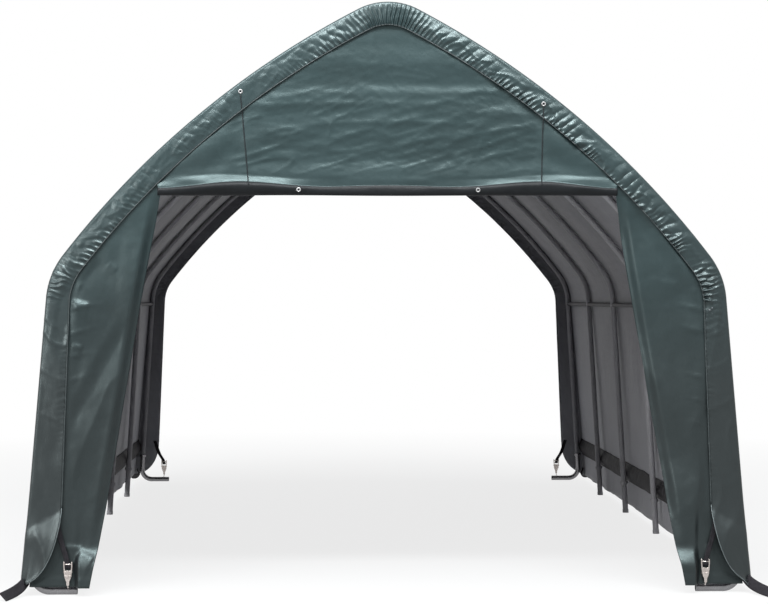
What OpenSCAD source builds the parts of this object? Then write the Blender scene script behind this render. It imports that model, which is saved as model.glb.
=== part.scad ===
// Peaked tunnel shelter: six bent-tube ribs on splayed legs, purlins and base rails,
// a stretched fabric cover with end bands, and a front end panel with its door raised.
// Millimetres, +Z up, front at -Y, origin on the ground in the middle of the footprint.

/* [Frame] */
// Distance between the leg centrelines at the ground
base_width = 3600; // [3000:10:4400]
// Height at which the straight leg ends and the shoulder bend starts
leg_height = 1490; // [1200:5:1900]
// Outward lean of the legs, in degrees
leg_lean = 3.5; // [0:0.5:6]
// Bend radius of the shoulder
shoulder_r = 390; // [300:5:600]
// Slope of the tube where the rafter starts, in degrees from vertical
rafter_foot_angle = 37.5; // [32:0.5:42]
// Slope of the tube where the rafter ends, in degrees from vertical
rafter_head_angle = 62.5; // [56:0.5:66]
// Bend radius of the peak
peak_r = 310; // [220:10:700]
// Number of bays between ribs
bays = 5; // [3:1:7]
// Distance between neighbouring ribs
bay_length = 1220; // [900:10:1600]

/* [Tubes] */
// Outside diameter of the rib tubes
tube_d = 38; // [32:1:50]
// Outside diameter of the purlins
purlin_d = 28; // [24:1:31]
// Wall of the purlin tubes
purlin_wall = 1.5; // [1:0.5:2.5]
// Drop of the eave purlins below the end of the straight leg
purlin_drop = 35; // [20:5:300]
// Length of the spigots that plug into the next tube
spigot_length = 60; // [40:5:100]
// Height of the joint in the lower leg
joint_z = 220; // [190:5:225]
// Outside diameter of the collar at that joint
collar_d = 54; // [52:1:62]
// Height of that collar
collar_h = 18; // [10:1:24]
// Height of the caps on the inner legs
cap_h = 24; // [15:1:40]
// Thickness of the caps
cap_t = 2; // [1:0.5:4]
// Bend radius of the corner feet
foot_bend_r = 80; // [60:5:120]
// Reach of the corner feet, from the leg's centreline on the ground to the tip
foot_reach = 225; // [210:5:300]
// Depth of the open bore in the tip of a corner foot
foot_bore = 60; // [30:5:90]

/* [Cover] */
// Thickness of the cover, stand-in for woven sheet
cover_t = 3; // [2:0.5:5]
// Outside diameter of the base rails in the cover's pockets
rail_d = 25; // [20:1:32]
// Height of the base rails
rail_z = 278; // [270:2:340]
// Height of the pocket around a base rail
pocket_h = 90; // [70:2:110]
// Height of the left hem above the ground
left_hem_z = 65; // [40:5:100]
// Height of the right hem above the ground
right_hem_z = 35; // [30:5:100]
// Width of the end bands over the arch
band_w = 120; // [90:2:140]
// Width of the end bands at the bottom of the legs
band_foot_w = 172; // [130:2:190]
// Height where the rounded cut in a front band starts
front_cut_z = 430; // [360:10:520]
// Height where the rounded cut in a back band starts
back_cut_z = 300; // [260:10:400]
// Height where the rounded cuts reach the outer edge
cut_foot_z = 60; // [55:5:90]

/* [End panel] */
// Thickness of the end panel
panel_t = 3; // [2:0.5:5]
// Rise of the header pole's centre above the end of the straight legs
header_rise = 560; // [450:5:700]
// Diameter of the header pole
pole_d = 38; // [25:1:45]
// Thickness of the hem sleeve around the pole
sleeve_t = 6; // [2:0.5:8]
// Distance from the ends of the hem sleeve to the bands
header_margin = 20; // [5:5:120]
// Width of the side panels at the ground
strip_foot_w = 312; // [250:2:420]
// Height of the panel's lower edge
panel_foot_z = 42; // [41:1:60]

/* [Fittings] */
// Width of the edge straps
strap_w = 28; // [20:1:40]
// Thickness of straps and webbing
strap_t = 3; // [2:0.5:4]
// Distance of the buckles from the leg's centreline on the ground
buckle_inset = 182; // [150:2:200]
// Width of a buckle
buckle_w = 46; // [38:1:52]
// Length of a buckle
buckle_length = 130; // [100:5:150]
// Diameter of the wire hook under a buckle
hook_d = 6; // [4:1:8]
// Width of the webbing tails at the corners
tail_w = 58; // [40:2:80]
// Length of the webbing tails along the ground
tail_length = 190; // [120:5:260]
// Direction of the tails, in degrees outward from straight ahead
tail_turn = 32; // [10:1:60]
// Distance of the lift cords from the middle of the gable
cord_x = 760; // [600:10:850]
// Diameter of the lift cords
cord_d = 6; // [4:1:10]
// Outside diameter of the grommets
grommet_d = 34; // [26:1:40]
// Distance of the hem grommets from the middle of the gable
hem_grommet_x = 455; // [300:5:600]

/* [Hidden] */
$fn = 64;
fit_gap = 0.3;
// A straight run is this much thinner than the bend it continues, and laps this far into it
bend_step = 1;
bend_lap = 0.5;
tube_r = tube_d / 2;
base_x = base_width / 2;
frame_length = bays * bay_length;
rib_y = [for (i = [0 : bays]) -frame_length / 2 + i * bay_length];
first_rib = 0;
last_rib = bays;

// Points and unit vectors in the rib plane are [x, z]. An angle is measured from +X, so a
// radius at that angle is also the outward normal of a tube that slopes as much from vertical.
function ray(angle) = [cos(angle), sin(angle)];
function leg_x(z) = base_x - z * tan(leg_lean);

// Centreline of the right half of a rib: leg, shoulder bend, rafter and half of the peak bend
leg_top = [leg_x(leg_height), leg_height];
purlin_z = leg_height - purlin_drop;
header_z = leg_height + header_rise;
shoulder_c = leg_top - shoulder_r * ray(leg_lean);
rafter_foot = shoulder_c + shoulder_r * ray(rafter_foot_angle);
rafter_r = (rafter_foot[0] - peak_r * cos(rafter_head_angle))
    / (cos(rafter_foot_angle) - cos(rafter_head_angle));
rafter_c = rafter_foot - rafter_r * ray(rafter_foot_angle);
peak_c = rafter_c + (rafter_r - peak_r) * ray(rafter_head_angle);

// Distances of the cover's faces from that centreline
cover_in = tube_r + fit_gap;
cover_out = cover_in + cover_t;

// The wall stands further out at the base rail, which lies in its pocket outside the legs
rail_off = tube_r + fit_gap + cover_t + fit_gap + rail_d / 2;
rail_x = leg_x(rail_z) + rail_off / cos(leg_lean);
wall_top = leg_top + cover_in * ray(leg_lean);
wall_rail_x = rail_x + (rail_d / 2 + fit_gap) / cos(leg_lean);
wall_slope = (wall_rail_x - wall_top[0]) / (wall_top[1] - rail_z);
wall_skin = cover_t / cos(leg_lean);
function wall_x(z) = wall_top[0] + (wall_top[1] - z) * wall_slope;

// Planes at the two ends, front ones negative
panel_y = frame_length / 2 + tube_r + fit_gap;
cover_y = panel_y + panel_t + fit_gap;
band_y = cover_y + cover_t;

// Angle on the rafter's outer edge where it crosses the header
edge_r = rafter_r + tube_r;
header_angle = asin((header_z - rafter_c[1]) / edge_r);
function panel_edge_x(z) = leg_x(z) + tube_r / cos(leg_lean);

// The hem sleeve ends short of the bands, and the opening runs from there to the side panels' feet
sleeve_r = pole_d / 2 + fit_gap + sleeve_t;
function arch_x(r, z) = rafter_c[0] + sqrt(pow(r, 2) - pow(z - rafter_c[1], 2));
sleeve_end_x = arch_x(rafter_r + cover_out - band_w, header_z + sleeve_r) - header_margin;
opening_top_x = sleeve_end_x + fit_gap;
opening_foot_x = panel_edge_x(panel_foot_z) - strip_foot_w;

// Placing
module both_sides() {
    children();
    mirror([1, 0, 0]) children();
}
module left_side() {
    mirror([1, 0, 0]) children();
}
// A flat shape drawn in [x, z], as a plate from y to y + t
module plate(y, t) {
    translate([0, y + t, 0]) rotate([90, 0, 0]) linear_extrude(t) children();
}
// A shape drawn in [radius, depth], turned about an axis along Y through the point c
module turned(c, from, to, y_back) {
    translate([c[0], y_back, c[1]]) rotate([90, 0, 0]) rotate([0, 0, from])
        rotate_extrude(angle = to - from) children();
}
// A bent tube whose centreline is an arc in the rib plane
module bent_tube(c, r, from, to, y) {
    turned(c, from, to, y) translate([r, 0]) circle(tube_r);
}
// An arched strip that is so wide inward from its outer radius and so deep along Y
module arched_strip(c, r_out, w, from, to, y, depth) {
    turned(c, from, to, y + depth) translate([r_out - w, 0]) square([w, depth]);
}
// The axis of a right leg, with z along the tube from the ground
module on_leg(y) {
    translate([base_x, y, 0]) rotate([0, -leg_lean, 0]) children();
}
module y_rod(x, z, d, y, length) {
    translate([x, y, z]) rotate([-90, 0, 0]) cylinder(d = d, h = length);
}
function on_axis(z) = z / cos(leg_lean);

// Ribs
purlin_bore_d = purlin_d - 2 * purlin_wall;
spigot_d = purlin_bore_d - 2 * fit_gap;
leg_spigot_d = tube_d - 6;
leg_socket_d = leg_spigot_d + 2 * fit_gap;

// Round spigots that carry the purlins, on the sides of a rib that have a neighbour
module purlin_spigots(i, x, z) {
    reach = tube_r + spigot_length;
    if (i < last_rib) y_rod(x, z, spigot_d, rib_y[i], reach);
    if (i > first_rib) y_rod(x, z, spigot_d, rib_y[i] - reach, reach);
}
module leg(i) {
    difference() {
        on_leg(rib_y[i]) translate([0, 0, on_axis(joint_z)])
            cylinder(d = tube_d, h = on_axis(leg_height - joint_z));
        on_leg(rib_y[i]) translate([0, 0, on_axis(joint_z)])
            cylinder(d = leg_socket_d, h = spigot_length + fit_gap);
    }
    purlin_spigots(i, leg_x(purlin_z), purlin_z);
}
module rib_legs(i) {
    color("dimgray") both_sides() leg(i);
}
module rib_rafters(i) {
    color("dimgray") both_sides()
        bent_tube(rafter_c, rafter_r, rafter_foot_angle, rafter_head_angle, rib_y[i]);
}
module shoulder_bends() {
    color("dimgray") for (y = rib_y)
        bent_tube(shoulder_c, shoulder_r, leg_lean, rafter_foot_angle, y);
}
module peak_bends() {
    color("dimgray") for (i = [first_rib : last_rib]) {
        bent_tube(peak_c, peak_r, rafter_head_angle, 180 - rafter_head_angle, rib_y[i]);
        purlin_spigots(i, 0, peak_c[1] + peak_r);
    }
}

// Lower ends of the legs
module joint_collar() {
    translate([0, 0, on_axis(joint_z) - collar_h]) cylinder(d = collar_d, h = collar_h);
    translate([0, 0, on_axis(joint_z)]) cylinder(d = leg_spigot_d, h = spigot_length);
}
module leg_stubs() {
    color("gray") for (i = [first_rib + 1 : last_rib - 1]) both_sides() difference() {
        on_leg(rib_y[i]) {
            translate([0, 0, -tube_d]) cylinder(d = tube_d, h = on_axis(joint_z) + tube_d);
            translate([0, 0, -tube_d]) cylinder(d = tube_d + 2 * cap_t, h = cap_h + tube_d);
            joint_collar();
        }
        translate([base_x, rib_y[i], -2 * tube_d]) cube([4, 4, 4] * tube_d, center = true);
    }
}
// A foot turns inward from the leg and lies on the ground with its tip open
foot_c = [leg_x(tube_r + foot_bend_r) - foot_bend_r / cos(leg_lean), tube_r + foot_bend_r];
foot_leg_z = foot_c[1] + foot_bend_r * sin(leg_lean);
foot_tip_x = base_x - foot_reach;
module corner_foot(y) {
    on_leg(y) {
        translate([0, 0, on_axis(foot_leg_z) - bend_lap])
            cylinder(d = tube_d - bend_step, h = on_axis(joint_z - foot_leg_z) + bend_lap);
        joint_collar();
    }
    bent_tube(foot_c, foot_bend_r, -90, leg_lean, y);
    difference() {
        translate([foot_tip_x, y, tube_r]) rotate([0, 90, 0])
            cylinder(d = tube_d - bend_step, h = foot_c[0] - foot_tip_x + bend_lap);
        translate([foot_tip_x - fit_gap, y, tube_r]) rotate([0, 90, 0])
            cylinder(d = leg_socket_d, h = foot_bore);
    }
}
module corner_feet() {
    color("silver") for (i = [first_rib, last_rib]) both_sides() corner_foot(rib_y[i]);
}

// Purlins, rails and pole
module purlin_run(x, z) {
    for (i = [first_rib : last_rib - 1])
        translate([x, rib_y[i] + tube_r + 1, z]) rotate([-90, 0, 0])
            linear_extrude(bay_length - tube_d - 2) difference() {
                circle(d = purlin_d);
                circle(d = purlin_bore_d);
            }
}
module eave_purlins() {
    color("dimgray") purlin_run(leg_x(purlin_z), purlin_z);
}
module ridge_purlins() {
    color("dimgray") purlin_run(0, peak_c[1] + peak_r);
}
module base_rail() {
    color("dimgray") y_rod(rail_x, rail_z, rail_d, -cover_y, 2 * cover_y);
}
sleeve_length = 2 * sleeve_end_x;
header_y = -panel_y - panel_t / 2;
module x_rod(d, length, y, z) {
    translate([0, y, z]) rotate([0, 90, 0]) cylinder(d = d, h = length, center = true);
}
module header_pole() {
    color("dimgray") x_rod(pole_d, sleeve_length, header_y, header_z);
}

// Cover
rail_surface = leg_x(rail_z) + (tube_r + fit_gap) / cos(leg_lean);
function leg_face(dz) = [rail_surface - dz * tan(leg_lean), rail_z + dz];
module wall_section(hem_z) {
    top_out = wall_top + cover_t * ray(leg_lean);
    polygon([[wall_x(hem_z), hem_z], [wall_x(hem_z) + wall_skin, hem_z], top_out, wall_top]);
}
// The pocket's inner skin, from the wall round the inside of the rail and back to the wall
module pocket_section() {
    reach = pocket_h / 2;
    straight = rail_d / 2 + 2;
    skin = [wall_skin, 0];
    function on_wall(dz) = [wall_x(rail_z + dz) + wall_skin / 2, rail_z + dz];
    polygon([
        on_wall(reach), leg_face(straight), leg_face(-straight), on_wall(-reach),
        on_wall(2 * cover_t - reach), leg_face(-straight) + skin, leg_face(straight) + skin,
        on_wall(reach - 2 * cover_t)
    ]);
}
module wall_cover(hem_z) {
    color("darkslategray") plate(-cover_y, 2 * cover_y) {
        wall_section(hem_z);
        pocket_section();
    }
}
module cover_strip(c, r, from, to) {
    color("darkslategray") arched_strip(c, r + cover_out, cover_t, from, to, -cover_y, 2 * cover_y);
}
module shoulder_cover() {
    cover_strip(shoulder_c, shoulder_r, leg_lean, rafter_foot_angle);
}
module slope_cover() {
    cover_strip(rafter_c, rafter_r, rafter_foot_angle, rafter_head_angle);
}
module ridge_cover() {
    cover_strip(peak_c, peak_r, rafter_head_angle, 180 - rafter_head_angle);
}

// End bands: the cover folded in over an end, with a rounded cut at the foot of each leg
cut_steps = 10;
function cut_edge(cut_z) = let (x_out = wall_x(cut_foot_z) + wall_skin)
    [for (i = [0 : cut_steps]) let (a = 90 * i / cut_steps)
        [x_out - band_foot_w * cos(a), cut_z - (cut_z - cut_foot_z) * sin(a)]];
module leg_band(y, cut_z) {
    top_out = leg_top + cover_out * ray(leg_lean);
    plate(y, cover_t)
        polygon(concat([top_out, top_out - band_w * ray(leg_lean)], cut_edge(cut_z)));
}
module leg_bands(y, cut_z) {
    color("darkslategray") both_sides() leg_band(y, cut_z);
}
module band_strip(c, r, from, to, y) {
    color("darkslategray") arched_strip(c, r + cover_out, band_w, from, to, y, cover_t);
}
module shoulder_bands(y) {
    both_sides() band_strip(shoulder_c, shoulder_r, leg_lean, rafter_foot_angle, y);
}
module slope_bands(y) {
    both_sides() band_strip(rafter_c, rafter_r, rafter_foot_angle, rafter_head_angle, y);
}
module peak_band(y) {
    band_strip(peak_c, peak_r, rafter_head_angle, 180 - rafter_head_angle, y);
}

// Front end panel
arc_steps = 12;
function edge_arc(c, r, from, to) = [for (i = [0 : arc_steps])
    c + r * ray(from + (to - from) * i / arc_steps)];
module gable_half() {
    polygon(concat(
        [[0, header_z]],
        edge_arc(rafter_c, edge_r, header_angle, rafter_head_angle),
        edge_arc(peak_c, peak_r + tube_r, rafter_head_angle, 90)
    ));
}
module front_gable_panel() {
    color("darkslategray") difference() {
        union() {
            plate(-panel_y - panel_t, panel_t) both_sides() gable_half();
            x_rod(2 * sleeve_r, sleeve_length, header_y, header_z);
        }
        x_rod(pole_d + 2 * fit_gap, base_width, header_y, header_z);
    }
}
module side_panel() {
    color("darkslategray") plate(-panel_y - panel_t, panel_t) polygon(concat(
        [[opening_top_x, header_z]],
        [[opening_foot_x, panel_foot_z], [panel_edge_x(panel_foot_z), panel_foot_z]],
        edge_arc(shoulder_c, shoulder_r + tube_r, leg_lean, rafter_foot_angle),
        edge_arc(rafter_c, edge_r, rafter_foot_angle, header_angle)
    ));
}

// Straps and buckles, which pull the lower corners of the bands down to the feet
buckle_x = base_x - buckle_inset;
hook_z = tube_d + fit_gap;
buckle_z = hook_z + hook_d / 2;
buckle_t = 2 * strap_t;
strap_y = band_y + strap_t + fit_gap;
buckle_y = strap_y + buckle_t + fit_gap;
function band_corner(cut_z) = [wall_x(cut_foot_z) + wall_skin - band_foot_w + strap_w / 2, cut_z];
module edge_strap(cut_z) {
    foot = [buckle_x, buckle_z + buckle_length * 0.8];
    head = band_corner(cut_z) + [0, 40];
    half = [strap_w / 2, 0];
    plate(-strap_y, strap_t) polygon([foot - half, foot + half, head + half, head - half]);
}
// A forked head that holds the strap, a body, and a lever that tapers to the wire hook
module buckle() {
    half = buckle_w / 2;
    waist = half * 0.8;
    neck = buckle_w / 5;
    prong = half * 0.35;
    translate([buckle_x, 0, buckle_z]) {
        plate(-buckle_y, buckle_t) {
            polygon([
                [-neck, 0], [neck, 0], [waist, buckle_length * 0.38], [waist, buckle_length * 0.6],
                [-waist, buckle_length * 0.6], [-waist, buckle_length * 0.38]
            ]);
            for (side = [-1, 1]) scale([side, 1]) polygon([
                [waist - prong, buckle_length * 0.55], [waist, buckle_length * 0.55],
                [half, buckle_length], [half - prong, buckle_length]
            ]);
        }
        translate([0, -buckle_y, 0]) rotate([-90, 0, 0])
            cylinder(d = hook_d, h = buckle_y - frame_length / 2);
    }
}
module back_end() {
    mirror([0, 1, 0]) children();
}
module edge_straps() {
    color("black") both_sides() {
        edge_strap(front_cut_z);
        back_end() edge_strap(back_cut_z);
    }
}
module edge_buckles() {
    color("silver") both_sides() {
        buckle();
        back_end() buckle();
    }
}
// A webbing tail lies on the ground and rises to the corner of the cover
module corner_tail() {
    rise = cut_foot_z;
    translate([wall_x(cut_foot_z), -band_y - fit_gap, 0]) rotate([0, 0, tail_turn - 90])
        translate([0, tail_w / 2, 0]) rotate([90, 0, 0]) linear_extrude(tail_w)
            polygon([
                [0, rise], [0, rise - strap_t], [rise, 0], [tail_length, 0],
                [tail_length, strap_t], [rise + strap_t, strap_t]
            ]);
}
module corner_tails() {
    color("black") both_sides() {
        corner_tail();
        back_end() corner_tail();
    }
}

// Lift cords and grommets on the gable
function band_mid_z(x) = rafter_c[1]
    + sqrt(pow(rafter_r + cover_out - band_w / 3, 2) - pow(x - rafter_c[0], 2));
module lift_cords() {
    foot_z = header_z + sleeve_r + fit_gap;
    head_z = band_mid_z(cord_x) - grommet_d / 2;
    color("black") both_sides()
        translate([cord_x, -band_y - fit_gap - cord_d / 2, foot_z])
            cylinder(d = cord_d, h = head_z - foot_z);
}
module grommet(x, y, z) {
    translate([x, y, z]) rotate([90, 0, 0]) linear_extrude(cover_t) difference() {
        circle(d = grommet_d);
        circle(d = grommet_d * 0.45);
    }
}
module grommets() {
    color("silver") both_sides() {
        grommet(cord_x, -band_y, band_mid_z(cord_x));
        grommet(hem_grommet_x, header_y - sleeve_r, header_z);
    }
}

rib_legs(0);  // front_rib_legs
rib_legs(1);  // rib_2_legs
rib_legs(2);  // rib_3_legs
rib_legs(3);  // rib_4_legs
rib_legs(4);  // rib_5_legs
rib_legs(5);  // back_rib_legs
rib_rafters(0);  // front_rib_rafters
rib_rafters(1);  // rib_2_rafters
rib_rafters(2);  // rib_3_rafters
rib_rafters(3);  // rib_4_rafters
rib_rafters(4);  // rib_5_rafters
rib_rafters(5);  // back_rib_rafters
left_side() shoulder_bends();  // left_shoulder_bends
shoulder_bends();  // right_shoulder_bends
peak_bends();
corner_feet();
leg_stubs();
left_side() eave_purlins();  // left_eave_purlins
eave_purlins();  // right_eave_purlins
ridge_purlins();
left_side() base_rail();  // left_base_rail
base_rail();  // right_base_rail
header_pole();
left_side() wall_cover(left_hem_z);  // left_wall_cover
wall_cover(right_hem_z);  // right_wall_cover
left_side() shoulder_cover();  // left_shoulder_cover
shoulder_cover();  // right_shoulder_cover
left_side() slope_cover();  // left_slope_cover
slope_cover();  // right_slope_cover
ridge_cover();
leg_bands(-band_y, front_cut_z);  // front_leg_bands
shoulder_bands(-band_y);  // front_shoulder_bands
slope_bands(-band_y);  // front_slope_bands
peak_band(-band_y);  // front_peak_band
leg_bands(cover_y, back_cut_z);  // back_leg_bands
shoulder_bands(cover_y);  // back_shoulder_bands
slope_bands(cover_y);  // back_slope_bands
peak_band(cover_y);  // back_peak_band
front_gable_panel();
left_side() side_panel();  // front_left_side_panel
side_panel();  // front_right_side_panel
edge_straps();
edge_buckles();
corner_tails();
lift_cords();
grommets();
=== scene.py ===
import math

import bpy
import numpy as np
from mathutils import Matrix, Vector


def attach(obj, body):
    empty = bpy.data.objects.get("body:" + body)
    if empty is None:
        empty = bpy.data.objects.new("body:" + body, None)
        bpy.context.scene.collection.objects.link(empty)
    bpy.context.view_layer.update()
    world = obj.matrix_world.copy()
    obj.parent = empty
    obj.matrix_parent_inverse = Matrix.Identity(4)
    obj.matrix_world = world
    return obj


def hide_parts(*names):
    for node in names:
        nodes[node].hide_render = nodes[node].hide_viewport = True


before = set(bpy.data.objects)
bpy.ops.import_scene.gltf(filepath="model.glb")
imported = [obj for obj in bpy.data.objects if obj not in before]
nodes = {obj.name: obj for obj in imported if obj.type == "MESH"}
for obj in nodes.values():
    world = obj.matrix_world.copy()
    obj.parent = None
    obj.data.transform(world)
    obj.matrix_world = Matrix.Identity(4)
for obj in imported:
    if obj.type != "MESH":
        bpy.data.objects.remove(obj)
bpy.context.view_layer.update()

# Sizes of the solids, in metres
BASE_X = 1.8
LEG_HEIGHT = 1.49
LEAN = math.radians(3.5)
SHOULDER_R = 0.39
FOOT_ANGLE = math.radians(37.5)
HEAD_ANGLE = math.radians(62.5)
PEAK_R = 0.31
BAY = 1.22
BAYS = 5
TUBE_R = 0.019
GAP = 0.0003
COVER_T = 0.003
RAIL_D = 0.025
RAIL_Z = 0.278
LEFT_HEM = 0.065
RIGHT_HEM = 0.035
BAND_W = 0.12
BAND_FOOT_W = 0.172
FRONT_CUT = 0.43
BACK_CUT = 0.30
CUT_FOOT = 0.06
HEADER_RISE = 0.56
HEADER_Z = LEG_HEIGHT + HEADER_RISE
POLE_R = 0.019
SLEEVE_T = 0.006
SLEEVE_R = POLE_R + GAP + SLEEVE_T
PANEL_T = 0.003
PANEL_FOOT = 0.042
STRIP_FOOT_W = 0.312
HEADER_MARGIN = 0.02
CORD_X = 0.76
HEM_GROMMET_X = 0.455
LENGTH = BAY * BAYS
PANEL_Y = LENGTH / 2 + TUBE_R + GAP
PANEL_FACE_Y = PANEL_Y + PANEL_T
COVER_Y = PANEL_FACE_Y + GAP
BAND_Y = COVER_Y + COVER_T
COVER_OUT = TUBE_R + GAP + COVER_T
# Length of a wall along the cover, from its hem to the shoulder
WALL_LENGTH = 1.46
# Thickness of the sheets that stand for the solids of cloth
CLOTH = 0.002


def ray(a):
    return np.array([math.cos(a), math.sin(a)])


def leg_x(z):
    return BASE_X - z * math.tan(LEAN)


LEG_TOP = np.array([leg_x(LEG_HEIGHT), LEG_HEIGHT])
SHOULDER_C = LEG_TOP - SHOULDER_R * ray(LEAN)
RAFTER_FOOT = SHOULDER_C + SHOULDER_R * ray(FOOT_ANGLE)
RAFTER_SPAN = RAFTER_FOOT[0] - PEAK_R * math.cos(HEAD_ANGLE)
RAFTER_R = RAFTER_SPAN / (math.cos(FOOT_ANGLE) - math.cos(HEAD_ANGLE))
RAFTER_C = RAFTER_FOOT - RAFTER_R * ray(FOOT_ANGLE)
PEAK_C = RAFTER_C + (RAFTER_R - PEAK_R) * ray(HEAD_ANGLE)
RAIL_OFF = TUBE_R + GAP + COVER_T + GAP + RAIL_D / 2
RAIL_X = leg_x(RAIL_Z) + RAIL_OFF / math.cos(LEAN)
WALL_TOP = LEG_TOP + COVER_OUT * ray(LEAN)
WALL_RAIL_X = RAIL_X + (RAIL_D / 2 + GAP + COVER_T) / math.cos(LEAN)
WALL_SLOPE = (WALL_RAIL_X - WALL_TOP[0]) / (WALL_TOP[1] - RAIL_Z)


def wall_x(z):
    return WALL_TOP[0] + (WALL_TOP[1] - z) * WALL_SLOPE


def arch_x(r, z):
    return RAFTER_C[0] + np.sqrt(np.maximum(r * r - (z - RAFTER_C[1]) ** 2, 0))


SLEEVE_END = float(arch_x(RAFTER_R + COVER_OUT - BAND_W, HEADER_Z + SLEEVE_R)) - HEADER_MARGIN

# Straps, tails and buckles
STRAP_W = 0.026
STRAP_T = 0.0022
STRAP_SOLID_T = 0.003
TAIL_W = 0.056
TAIL_T = 0.0026
HOOK_R = 0.003
BUCKLE_INSET = 0.182
BUCKLE_X = BASE_X - BUCKLE_INSET
BUCKLE_Z = 2 * TUBE_R + GAP + HOOK_R
BUCKLE_LENGTH = 0.13
BUCKLE_HALF_W = 0.023
BUCKLE_OFF = 0.014
STRAP_Y = BAND_Y + STRAP_SOLID_T + GAP
BUCKLE_Y = STRAP_Y + BUCKLE_OFF
EDGE_X = wall_x(CUT_FOOT) - BAND_FOOT_W


# Smooth noise on a repeatable lattice
LAYERS = 24
SIDE = 128
LATTICE = np.random.RandomState(7).rand(LAYERS, SIDE, SIDE) * 2 - 1


def fade(t):
    return t * t * t * (t * (t * 6 - 15) + 10)


def noise(x, y, layer):
    xi = np.floor(x).astype(int)
    yi = np.floor(y).astype(int)
    fx = fade(x - xi)
    fy = fade(y - yi)
    grid = LATTICE[layer % LAYERS]
    a = grid[xi % SIDE, yi % SIDE]
    b = grid[(xi + 1) % SIDE, yi % SIDE]
    c = grid[xi % SIDE, (yi + 1) % SIDE]
    d = grid[(xi + 1) % SIDE, (yi + 1) % SIDE]
    return (a * (1 - fx) + b * fx) * (1 - fy) + (c * (1 - fx) + d * fx) * fy


def layered(x, y, layer, octaves=3):
    total = 0
    gain = 1
    for i in range(octaves):
        total += gain * noise(x * 2 ** i + 17.3 * i, y * 2 ** i + 5.1 * i, layer + i)
        gain *= 0.5
    return total


def crease(x, y, layer, sharp=4):
    return (1 - np.abs(noise(x, y, layer))) ** sharp


def ease(a, b, x):
    t = np.clip((x - a) / (b - a), 0, 1)
    return t * t * (3 - 2 * t)


def bump_at(x, centre, width):
    return np.exp(-((x - centre) / width) ** 2)


def lengths(path):
    """Distance along a path, at each of its points."""
    step = np.linalg.norm(np.diff(path, axis=0), axis=1)
    return np.concatenate([[0], np.cumsum(step)])


def smoothed(path, times):
    path = path.copy()
    for _ in range(times):
        path[1:-1] = (path[:-2] + 2 * path[1:-1] + path[2:]) / 4
    return path


# The cover's outer face in the rib plane, from a hem to the peak: points and outward normals
def half_profile(hem, wall, shoulder, rafter, peak):
    points = []
    normals = []
    low = np.array([wall_x(hem), hem])
    along = WALL_TOP - low
    wall_normal = np.array([along[1], -along[0]]) / np.linalg.norm(along)
    for i in range(wall):
        t = i / wall
        points.append(low + along * t)
        n = wall_normal * (1 - t) + ray(LEAN) * t
        normals.append(n / np.linalg.norm(n))
    arcs = (
        (SHOULDER_C, SHOULDER_R, LEAN, FOOT_ANGLE, shoulder),
        (RAFTER_C, RAFTER_R, FOOT_ANGLE, HEAD_ANGLE, rafter),
        (PEAK_C, PEAK_R, HEAD_ANGLE, math.pi / 2, peak),
        (PEAK_C, PEAK_R, math.pi / 2, math.pi / 2, 1),
    )
    for centre, radius, start, end, count in arcs:
        for i in range(count):
            a = start + (end - start) * i / count
            points.append(centre + (radius + COVER_OUT) * ray(a))
            normals.append(ray(a))
    return np.array([points, normals])


def full_profile(counts):
    """The whole outer face from the left hem to the right one, with the distance along it."""
    left = half_profile(LEFT_HEM, **counts) * (-1, 1)
    right = half_profile(RIGHT_HEM, **counts)
    p, n = np.concatenate([left, right[:, -2::-1]], axis=1)
    return p, n, lengths(p)


# Meshes
def linked(name, data):
    made = bpy.data.objects.new(name, data)
    bpy.context.scene.collection.objects.link(made)
    return made


def new_object(name, verts, faces, materials, slots=None, uvs=None, smooth=True):
    mesh = bpy.data.meshes.new(name)
    mesh.from_pydata([tuple(v) for v in verts], [], [tuple(f) for f in faces])
    for m in materials:
        mesh.materials.append(m)
    if slots is not None:
        mesh.polygons.foreach_set("material_index", np.asarray(slots, np.int32))
    mesh.polygons.foreach_set("use_smooth", [smooth] * len(mesh.polygons))
    if uvs is not None:
        layer = mesh.uv_layers.new(name="cut")
        corner = np.zeros(len(mesh.loops), np.int32)
        mesh.loops.foreach_get("vertex_index", corner)
        layer.data.foreach_set("uv", np.asarray(uvs, np.float32)[corner].ravel())
    mesh.update()
    return linked(name, mesh)


def stacked(*parts):
    return np.stack(np.broadcast_arrays(*parts), -1)


def grid_normals(p):
    n = np.cross(np.gradient(p, axis=1), np.gradient(p, axis=0))
    return n / np.maximum(np.linalg.norm(n, axis=2, keepdims=True), 1e-9)


def cloth_grid(name, p, uv, materials, thick=CLOTH, outward=1, hem_rows=0):
    """A closed sheet of rows by columns; p is its outer face. Slots: outer, inner, lowest rows."""
    rows, cols = p.shape[:2]
    inner = p - outward * grid_normals(p) * thick
    count = rows * cols
    verts = np.concatenate([p.reshape(-1, 3), inner.reshape(-1, 3)])
    uvs = np.tile(uv.reshape(-1, 2), (2, 1))
    index = np.arange(count).reshape(rows, cols)
    quad = stacked(index[:-1, :-1], index[:-1, 1:], index[1:, 1:], index[1:, :-1]).reshape(-1, 4)
    loop = np.concatenate([index[0, :], index[1:, -1], index[-1, -2::-1], index[-2:0:-1, 0]])
    ahead = np.roll(loop, -1)
    rim = stacked(ahead, loop, loop + count, ahead + count)
    if outward < 0:
        quad = quad[:, ::-1]
        rim = rim[:, ::-1]
    back = quad[:, ::-1] + count
    faces = np.concatenate([quad, back, rim])
    front_slots = np.where(np.arange(len(quad)) < hem_rows * (cols - 1), 2, 0)
    slots = np.concatenate([front_slots, np.ones(len(back)), np.zeros(len(rim))])
    return new_object(name, verts, faces, materials, slots, uvs)


def unit(v):
    return v / np.linalg.norm(v, axis=1, keepdims=True)


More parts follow.
